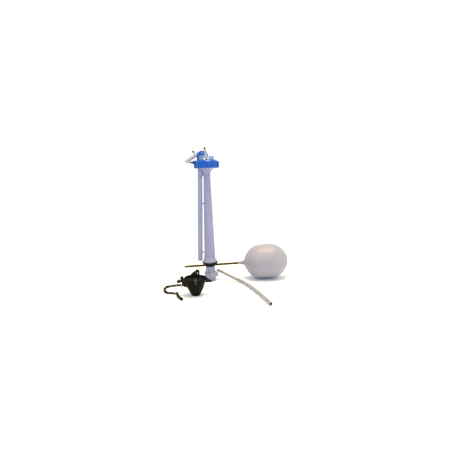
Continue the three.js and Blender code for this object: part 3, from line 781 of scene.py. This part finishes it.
def float_arm():
    """A banded barrel with the rod's socket at its outer end and a fork round the lever's tongue."""
    profile = [(0, -25), (6, -25, 0.8), (6, -17.8, 0.8), (5.3, -17.2, 0.4)]
    for x in (-16.8, -10.6, -4.4, 1.8):
        profile += [(4.95, x, 0.3), (4.95, x + 4.4, 0.3), (5.3, x + 4.8, 0.3), (5.3, x + 5.8, 0.3)]
    profile = profile[:-1] + [(5.3, 11, 0.7), (0, 11)]
    barrel = moved(spindle(profile, 0.3, 72), ON_ARM)
    pad = block((4.6, 11), (-3.4, 3.4), (3.6, 6.3), 0.6)
    cheeks = moved(drum(3.9, -ARM_HALF, ARM_HALF, 0.4), ALONG_Y)
    fork = block((-6, 12), (-3, 3), (-6.5, 3.3), 0.3)
    socket = moved(drum(3.4, -26, -9, 0, 48), ON_ARM)
    mouth = moved(spindle([(0, -25.5), (4.1, -25.5), (3.3, -24.4), (0, -24.4)], 0, 48), ON_ARM)
    hinge_hole = moved(drum(HINGE_PIN_RADIUS + GAP, -9, 9, 0, 32), ALONG_Y)
    screw_hole = moved(drum(1.8, 2, 9, 0, 32), ARM_SCREW)
    shape = cut(joined(barrel, pad, cheeks), fork, socket, mouth, hinge_hole, screw_hole)
    piece("float_arm", shape, ARM, ARM_FRAME)


def thumb_screw(node, radius, head, tip, head_from, head_to, place):
    """Cut thread from tip to head_from, then a knurled head with a two-winged grip and a driver slot."""
    pitch = 1.06
    bevel = 0.6
    depth = 0.32
    thread = thread_wave(pitch, depth, tip + 0.4, head_from - bevel)
    rim = head - bevel

    def wave(angle, out, height):
        if height < head_from:
            return thread(angle, out, height)
        return out - (0.22 * ripple(angle, 24) if out > rim - 0.25 else 0)
    knurled = rounded([
        (radius, head_from), (rim, head_from + bevel), (rim, head_to - bevel), (rim - bevel, head_to),
        (0, head_to),
    ], 0.25, False)
    profile = [
        (0, tip), (radius - 0.5, tip), (radius, tip + 0.4),
        *stretch(radius, tip + 0.45, head_from - 0.5, pitch), (radius, head_from), *knurled,
    ]
    stem = turned(profile, 96, False, wave)
    grip = block((-head, head), (-0.9, 0.9), (head_from + bevel, head_to - 0.3), 0.7)
    slot = block((-head - 1, head + 1), (-0.35, 0.35), (head_to - 1.1, head_to + 1), 0.05)
    piece(node, cut(joined(stem, grip), swung(slot, 90)), SCREW_BRASS, place)


def plunger():
    """A stem with a button on top for the screw and a flange below that holds the seal."""
    stem = spindle([
        (0, 333.7), (2.6, 333.7), (2.6, 336.2), (5.4, 336.2), (5.4, 338.2), (2.6, 338.2, 0.6),
        (2.6, 350, 0.6), (6.3, 350, 0.5), (6.3, 352.3, 0.7), (3.6, 352.3, 0.4), (3.2, 351.7), (0, 351.7),
    ], 0.25, 64)
    piece("plunger", stem, ARM)


# ---------------------------------------------------------------- float ball and rod
BALL_PROFILE = [
    (4.6, -82), (5, -73), (7.2, -64.4), (11.5, -62), (18.2, -59), (31, -51), (39.7, -42), (44.4, -35),
    (47.5, -28), (49.1, -18), (49.5, -8), (49.5, 12), (49.2, 18), (48, 24.5), (45.8, 31), (42, 38),
    (36.8, 45), (30, 51.5), (16.5, 59.6), (8, 61.9), (0, 62.4),
]
BALL_WALL = 1.7
BALL_LIMIT = 49.6  # the seam's ridge doesn't stand out beyond this radius


def float_ball():
    """Blown in two halves: a parting line round it from end to end, and a straight moulded neck."""
    line = [(max(0.0, p.x), p.y) for p in smooth_path([(r, z, 0) for r, z in BALL_PROFILE], 8)]
    inside = []
    for before, (radius, z), after in zip(line, line[1:], line[2:]):
        along = (Vector(after) - Vector(before)).normalized()
        if z > -60.5:
            inside.append((max(0.0, radius - BALL_WALL * along.y), z + BALL_WALL * along.x))
    lip = [(3.9, -82), (3.9, -72), (5.4, -63)]
    parting = seam(0.2, 0.7)

    def wave(angle, radius, height):
        slump = 1 - 0.002 * ripple(angle + 0.3, 2) * abs(math.sin(height / 23))
        return min(BALL_LIMIT, parting(angle, radius * slump, height))
    profile = [(0, 60.7), *reversed(inside), *reversed(lip), *line[:-1], (0, 62.4)]
    piece("float_ball", moved(turned(profile, 160, False, wave), ALONG_X), IVORY, FLOAT_FRAME, 60)


def ball_neck_collar():
    """The knurled brass end of the ball's neck, round the rod."""
    def knurls(angle, radius, height):
        return radius - (0.25 * ripple(angle, 30) if radius > 4.8 else 0)
    bore = ROD_RADIUS + GAP
    collar = ring([
        (bore, -84.8), (4.6, -84.8), (5, -84.4), (5, -82.8), (4.6, -82.4), (bore, -82.4),
    ], 0.2, 72, knurls)
    piece("ball_neck_collar", moved(collar, ALONG_X), BRASS, FLOAT_FRAME)


def float_rod():
    """A quarter-inch rod with twenty threads to the inch cut on both ends."""
    start, end = -239, -61
    pitch = 1.27
    depth = 0.42
    cut_length = 13
    near = thread_wave(pitch, depth, start + 0.8, start + cut_length)
    far = thread_wave(pitch, depth, end - cut_length, end - 0.8)
    bevel = ROD_RADIUS - 0.7
    shoulder = ROD_RADIUS - 0.1
    profile = [
        (0, start), (bevel, start), (shoulder, start + 0.7),
        *stretch(ROD_RADIUS, start + 0.8, start + cut_length + 0.4, pitch),
        *stretch(ROD_RADIUS, end - cut_length - 0.4, end - 0.8, pitch),
        (shoulder, end - 0.7), (bevel, end), (0, end),
    ]
    rod = turned(profile, 40, False, lambda angle, out, height: near(angle, far(angle, out, height), height))
    piece("float_rod", moved(rod, ALONG_X), BRASS, FLOAT_FRAME)


# ---------------------------------------------------------------- flapper and chain
LEFT_KNOB = (-33.8, 45.2)
LOW_KNOB = (-42, 36.6)
CHAIN_HOLE = (4.7, 57.4)


def flapper_seal():
    """The hollow bulb hangs from a flat sealing disc; low ribs run down its outside, and one is polished."""
    def ribs(angle, radius, height):
        if 3 < height < 33 and radius > 9.6 + 0.45 * height and radius < 24.9:
            fade = min(1, (height - 3) / 4, (33 - height) / 4)
            return radius - 0.5 * fade + 0.5 * fade * ripple(angle, 12) ** 2
        return radius

    def on_nib(place):
        return 0.1 < place.x < 5.1 and place.y < -18 and place.z > 32.9
    corners = [(10.2, 0.7), (15.4, 8.8), (21, 19.6), (24.9, 32.5)]
    side = []
    for low, high in zip(corners, corners[1:]):
        side += [tuple(Vector(low).lerp(Vector(high), k / 4)) for k in range(4)]
    rim = rounded([
        (24.9, 32.5), (25.3, 38.6), (28, 38.6, 0.4), (28, 41.4, 0.6), (25.5, 43.9, 1.4), (17, 47.1, 3),
        (0, 48.5),
    ], 0.5, False, 6)
    inside = rounded([
        (0, 46), (14, 44.8), (19.5, 41.5), (22.6, 36), (18.6, 21), (8.4, 2.4), (3.5, 2.4), (3.5, 0),
        (10, 0, 0.3), (10.2, 0.7),
    ], 0.8, False)
    bulb = turned([*inside[:-1], *side, *rim], 144, False, ribs)
    nib = swung(slab(rounded([
        (18, 32.8), (25.4, 32.8), (26.8, 35.2), (28.5, 38.2), (28.6, 41.6), (26.4, 44), (18, 47.4),
    ], 1), 0.2, 5, 1.1), -90)
    shape = joined(bulb, nib)
    piece("flapper_seal", shape, RUBBER, FLAPPER_FRAME, 45, accent=(POLISHED_RUBBER, on_nib))


def flapper_frame():
    """A strap over the disc with a stop lug, two knobs and a slotted ear, and a bail for the chain."""
    strap = slab(rounded([
        (42.4, 34.6, 1), (41.2, 36.4, 1), (31.8, 41.6), (29.6, 44.4), (27, 46.6), (18, 49.9), (0, 51.4),
        (-18, 50.2), (-25.6, 46.8), (-29.6, 43.6), (-33, 41.8), (-34.6, 38), (-33.6, 33), (-31.5, 28.4),
        (-29.6, 24.6, 0.8), (-28.6, 23.6, 0.8), (-22.4, 22.8, 0.5), (-25.3, 32.5), (-25.6, 36.3, 0.4),
        (-28.6, 36.3, 0.4), (-28.6, 41.9), (-25.8, 44.5), (-17.2, 47.7), (0, 49), (17.2, 47.7),
        (25.8, 44.5), (28.6, 41.9), (28.6, 36.3, 0.4), (25.8, 36.3, 0.4), (25.8, 32.9, 0.4),
        (40.4, 33.2, 1),
    ], 1.5, steps=5), -5, 5, 0.5)
    rib = slab(rounded([
        (-26, 46), (-18, 49.8), (0, 51), (18, 49.5), (27, 46), (27, 47.6), (18, 51.2), (0, 52.8),
        (-18, 51.6), (-26, 48),
    ], 1, steps=4), -1.2, 1.2, 0.4)
    slot = slab(rounded([(30, 34.6), (30, 37.2), (35, 37), (38.4, 35.2), (37, 34.7)], 0.6), -6, 6, 0)

    def knob(x, z, radius, half, soft=0.8):
        return moved(drum(radius, -half, half, soft, 56), Matrix.Translation((x, 0, z)) @ ALONG_Y)
    arm = block((LOW_KNOB[0], -33), (-4.8, 4.8), (34.6, 38.4), 0.8)
    foot = block((-36.4, -31.2), (-4.7, 4.7), (37, 45), 0.8)
    bail = slab(rounded([
        (-14, 49.8), (-9.5, 55.4), (-4.5, 59.4), (1, 62.6), (5.6, 64.8), (9.4, 65), (11.8, 62.8),
        (11.8, 49.8),
    ], 1.5, steps=5), -2, 2, 0.5)
    holes = [slot, knob(*LEFT_KNOB, 1.3, 6, 0), knob(*LOW_KNOB, 1.3, 6, 0), knob(*CHAIN_HOLE, 3.1, 3, 0)]
    frame_shape = joined(strap, rib, knob(*LEFT_KNOB, 4, 5), knob(*LOW_KNOB, 4.2, 5), arm, foot, bail)
    piece("flapper_frame", cut(frame_shape, *holes), BLACK, FLAPPER_FRAME)


CHAIN_ROUTE = [
    (-28.5, -139, 60.4), (-29.5, -133, 57), (-32, -123.5, 52.4), (-34.5, -115.2, 45), (-36.5, -112.6, 32),
    (-38, -111.6, 18), (-39.5, -109.5, 7.4), (-43, -102, 2.9), (-50, -87, 2.8), (-58, -73, 2.8),
    (-67, -61.5, 2.8), (-76, -54, 2.8), (-86, -52, 2.8), (-96, -54.8, 2.8), (-106, -59.5, 2.8),
    (-114.8, -66.5, 2.8), (-119.8, -78, 2.8), (-120.4, -92, 2.8), (-117.4, -108, 2.8),
    (-111.5, -122.5, 2.8), (-102.5, -130, 2.8), (-95.5, -131, 2.8),
]
CHAIN_TAIL_ROUTE = [
    (-81.5, -137, 2.8), (-79.5, -148, 2.8), (-77, -160, 2.8), (-72.8, -172, 2.8), (-67.5, -184, 2.8),
    (-61.6, -195.7, 2.8),
]
CHAIN_START = (-28.5, -144.4, 61.9)  # the drawn links reach on into the clip and the hook ring
CHAIN_END = (-89.4, -131.4, 2.8)
TAIL_START = (-86.4, -132.6, 2.8)
HOOK = Vector((-87.6, -131.5, 1.6))
CLIP = FLAPPER + Vector((4.7, 0, 62.3))
LINK = {"length": 12.4, "width": 7.4, "wire": 1.25, "pitch": 7.4}


def link_outline():
    """One oval link in its own XY plane, long along X."""
    straight = LINK["length"] / 2 - LINK["width"] / 2
    bend = LINK["width"] / 2 - LINK["wire"]
    outline = []
    for middle, start in ((straight, -90), (-straight, 90)):
        angles = [math.radians(start + 18 * k) for k in range(11)]
        outline += [Vector((middle + bend * math.cos(a), bend * math.sin(a), 0)) for a in angles]
    return outline


def chain(node, route):
    """Oval links along the route, each turned a quarter against the last, and rolled a little as they lie."""
    path = smooth_path(route, 12)
    marks = [0.0]
    for a, b in zip(path, path[1:]):
        marks.append(marks[-1] + (b - a).length)
    count = math.ceil((marks[-1] - LINK["length"]) / LINK["pitch"]) + 1
    slack = (marks[-1] - LINK["length"]) / max(1, count - 1)
    links = []

    def at(distance):
        i = next((k for k in range(1, len(marks)) if marks[k] >= distance), len(marks) - 1)
        share = (distance - marks[i - 1]) / (marks[i] - marks[i - 1])
        return path[i - 1].lerp(path[i], min(1, share))
    for k in range(count):
        middle = LINK["length"] / 2 + slack * k
        along = (at(middle + 3) - at(middle - 3)).normalized()
        across = along.cross(Vector((0, 0, 1)))
        across = across.normalized() if across.length > 0.05 else Vector((1, 0, 0))
        upright = across.cross(along)
        roll = math.radians((45 if k % 2 else -45) + 7 * math.sin(2.3 * k))
        side = across * math.cos(roll) + upright * math.sin(roll)
        turn = Matrix((along, side, along.cross(side))).transposed().to_4x4()
        outline = [Matrix.Translation(at(middle)) @ turn @ point for point in link_outline()]
        sunk = max(0, LINK["wire"] + 0.1 - min(point.z for point in outline))
        outline = [point + Vector((0, 0, sunk)) for point in outline]
        links.append(swept(outline, [LINK["wire"]], closed=True))
    piece(node, together(*links), BLACK, VALVE, 60)


def wire_eye(node, middle, radius, wire, turn):
    """A wire ring with its two ends overlapping, bent round like a key ring."""
    path = []
    steps = 60
    for k in range(steps + 1):
        angle = math.radians(-190 + 380 * k / steps)
        offset = (k / steps - 0.5) * 0.5
        path.append(Vector((radius * math.cos(angle), radius * math.sin(angle), offset)))
    place = Matrix.Translation(middle) @ turn
    piece(node, swept([place @ point for point in path], [wire]), BLACK, VALVE, 60)


# ---------------------------------------------------------------- stage and light
def make_stage():
    work = bmesh.new()
    bmesh.ops.create_circle(work, cap_ends=True, segments=96, radius=4)
    mesh = bpy.data.meshes.new("floor")
    work.to_mesh(mesh)
    work.free()
    material, nodes, links, shader = node_material("floor")
    tone = noise(nodes, links, 3, 2)
    links.new(ramp(nodes, links, tone, [(0.3, (0.915, 0.938, 0.965)), (0.7, (0.935, 0.958, 0.985))]),
              shader.inputs["Base Color"])
    shader.inputs["Roughness"].default_value = 0.9
    shader.inputs["Specular IOR Level"].default_value = 0.1
    mesh.materials.append(material)
    floor = bpy.data.objects.new("floor", mesh)
    floor.location.z = -0.0003  # just under the lowest piece
    bpy.context.scene.collection.objects.link(floor)


def area_light(name, place, target, size, power, colour):
    data = bpy.data.lights.new(name, "AREA")
    data.shape = "DISK"
    data.size = size
    data.energy = power
    data.color = colour
    light = bpy.data.objects.new(name, data)
    bpy.context.scene.collection.objects.link(light)
    light.location = place
    light.rotation_mode = "QUATERNION"
    light.rotation_quaternion = (Vector(target) - Vector(place)).to_track_quat("-Z", "Y")


def make_lights():
    world = bpy.data.worlds.new("studio")
    world.use_nodes = True
    background = world.node_tree.nodes["Background"]
    background.inputs["Color"].default_value = (1, 1, 1, 1)
    background.inputs["Strength"].default_value = 1.08
    bpy.context.scene.world = world
    area_light("key", (0.15, -0.1, 1.6), target=(0.05, 0, 0.05), size=0.5, power=28, colour=(1, 0.70, 0.30))
    area_light("fill", (1.2, -1.4, 0.5), target=(0, 0, 0.15), size=1.2, power=4, colour=(0.86, 0.9, 1))


# ---------------------------------------------------------------- the whole
make_camera()
refill_tube()
bpy.context.scene.view_settings.view_transform = "Standard"

standpipe()
discharge_tube()
shank_washer()
lock_nut()
coupling_nut()
bonnet()
refill_nipple()
cap_ring()
headed_pin("pivot_pin", PIVOT_PIN_RADIUS, CHEEK_FACE, tail=1.3, material=BLUED_STEEL, place=PIVOT_FRAME)
push_clip("pivot_pin_clip", PIVOT_PIN_RADIUS, CHEEK_FACE, thickness=0.9, place=PIVOT_FRAME)
headed_pin("arm_hinge_pin", HINGE_PIN_RADIUS, ARM_HALF, tail=1.2, material=ARM, place=HINGE_FRAME)
push_clip("arm_hinge_clip", HINGE_PIN_RADIUS, ARM_HALF, thickness=0.8, place=HINGE_FRAME)
lever()
float_arm()
thumb_screw("arm_adjusting_screw", radius=1.5, head=2.9, tip=2.6, head_from=11.2, head_to=16.4,
            place=ARM_FRAME @ ARM_SCREW)
thumb_screw("plunger_adjusting_screw", radius=1.7, head=3.1, tip=-8.9, head_from=13.4, head_to=18.8,
            place=PIVOT_FRAME @ SCREW_ON_LEVER)
plunger()
float_ball()
ball_neck_collar()
float_rod()
flapper_seal()
flapper_frame()
chain("lift_chain", [CHAIN_START, *CHAIN_ROUTE, CHAIN_END])
chain("chain_tail", [TAIL_START, *CHAIN_TAIL_ROUTE])
wire_eye("chain_clip", CLIP, radius=4.1, wire=0.8, turn=ALONG_X)
wire_eye("chain_hook", HOOK, radius=5, wire=1.2, turn=Matrix.Identity(4))
paint("valve_seat", WHITE)
for node in ("diaphragm", "seal_disc", "cone_washer"):
    paint(node, RUBBER)

make_stage()
make_lights()
